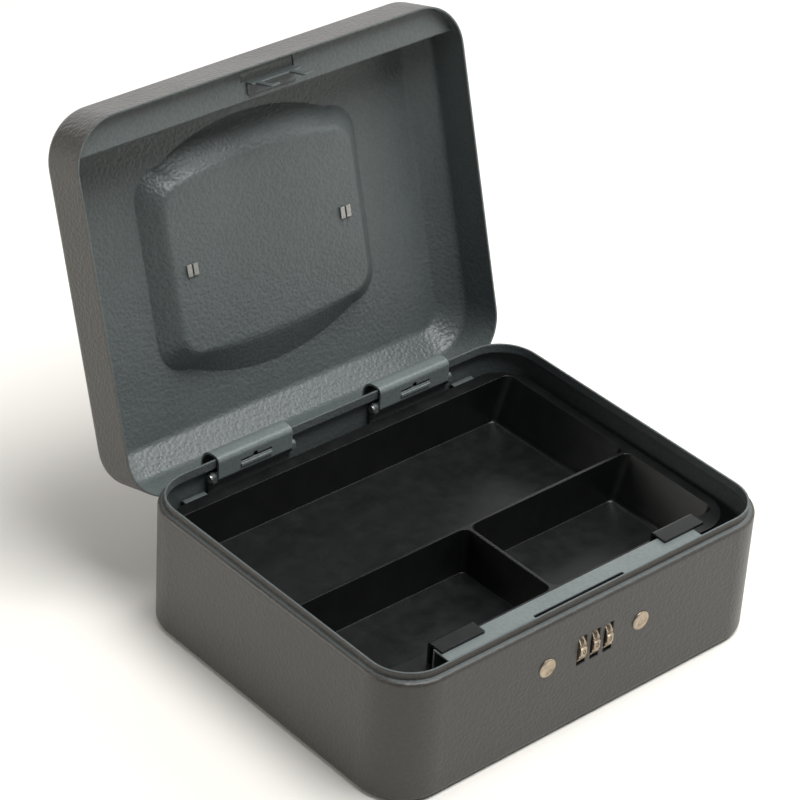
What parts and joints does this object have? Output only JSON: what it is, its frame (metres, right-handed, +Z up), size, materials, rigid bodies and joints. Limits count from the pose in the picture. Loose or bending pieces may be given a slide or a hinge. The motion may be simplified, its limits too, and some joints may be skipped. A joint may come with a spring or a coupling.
{
  "type": "steel cash box with combination lock",
  "caption": "Open steel cash box with a hinged lid, fold-down handle, combination dials, sliding latch and a lift-out tray with note and coin compartments.",
  "frame": {"origin": "centre of the base's underside, on the surface it stands on", "axes": "+X to the right along the width, +Y from the dials to the hinges, +Z up"},
  "size_m": [0.25, 0.292, 0.2539],
  "materials": {
    "grey_paint": "fine hammered charcoal grey enamel, semi-matt",
    "bare_plate": "smooth mid-grey enamel",
    "plated_steel": "dull zinc plating",
    "nickel": "satin warm nickel",
    "gate_brass": "machined",
    "black_plastic": "fine-grained moulded black plastic",
    "chrome_wire": "bright plating"
  },
  "bodies": {
    "base": {"base_shell": "grey_paint", "lock_case": "bare_plate", "lock_frame": "plated_steel", "lock_rivet_left": "nickel", "lock_rivet_right": "nickel", "dial_spindle": "plated_steel", "detent_spring": "plated_steel", "latch_spring": "plated_steel", "tray_rest_left": "grey_paint", "tray_rest_right": "grey_paint", "hinge_bracket_left": "grey_paint", "hinge_bracket_right": "grey_paint", "hinge_pin_left": "plated_steel", "hinge_pin_right": "plated_steel"},
    "lid": {"lid_shell": "grey_paint", "lid_channel": "grey_paint", "lid_strike": "grey_paint", "hinge_arm_left": "grey_paint", "hinge_arm_right": "grey_paint", "handle_lug_left": "plated_steel", "handle_lug_right": "plated_steel"},
    "handle": {"handle_bail": "chrome_wire", "handle_grip": "black_plastic"},
    "tray": {"cash_tray": "black_plastic"},
    "dial_left": {"dial_wheel_left": "nickel", "gate_ring_left": "gate_brass"},
    "dial_middle": {"dial_wheel_middle": "nickel", "gate_ring_middle": "gate_brass"},
    "dial_right": {"dial_wheel_right": "nickel", "gate_ring_right": "gate_brass"},
    "latch": {"latch_bolt": "plated_steel"}
  },
  "joints": [
    {"name": "lid_hinge", "type": "hinge", "parent": "base", "child": "lid", "pos_m": [0, 0.0969, 0.066], "axis": [1, 0, 0], "range_deg": [0, 105.9]},
    {"name": "handle_fold", "type": "hinge", "parent": "lid", "child": "handle", "pos_m": [0, 0.16018, 0.14873], "axis": [1, 0, 0], "range_deg": [-15, 163]},
    {"name": "tray_lift", "type": "slide", "parent": "base", "child": "tray", "axis": [0, 0, -1], "range_m": [-0.1, 0]},
    {"name": "dial_left_turn", "type": "hinge", "parent": "base", "child": "dial_left", "pos_m": [-0.0075, -0.0932, 0.0455], "axis": [1, 0, 0], "continuous": true},
    {"name": "dial_middle_turn", "type": "hinge", "parent": "base", "child": "dial_middle", "pos_m": [0.0014, -0.0932, 0.0455], "axis": [1, 0, 0], "continuous": true},
    {"name": "dial_right_turn", "type": "hinge", "parent": "base", "child": "dial_right", "pos_m": [0.0103, -0.0932, 0.0455], "axis": [1, 0, 0], "continuous": true},
    {"name": "latch_slide", "type": "slide", "parent": "base", "child": "latch", "axis": [1, 0, 0], "range_m": [-0.003, 0]}
  ]
}
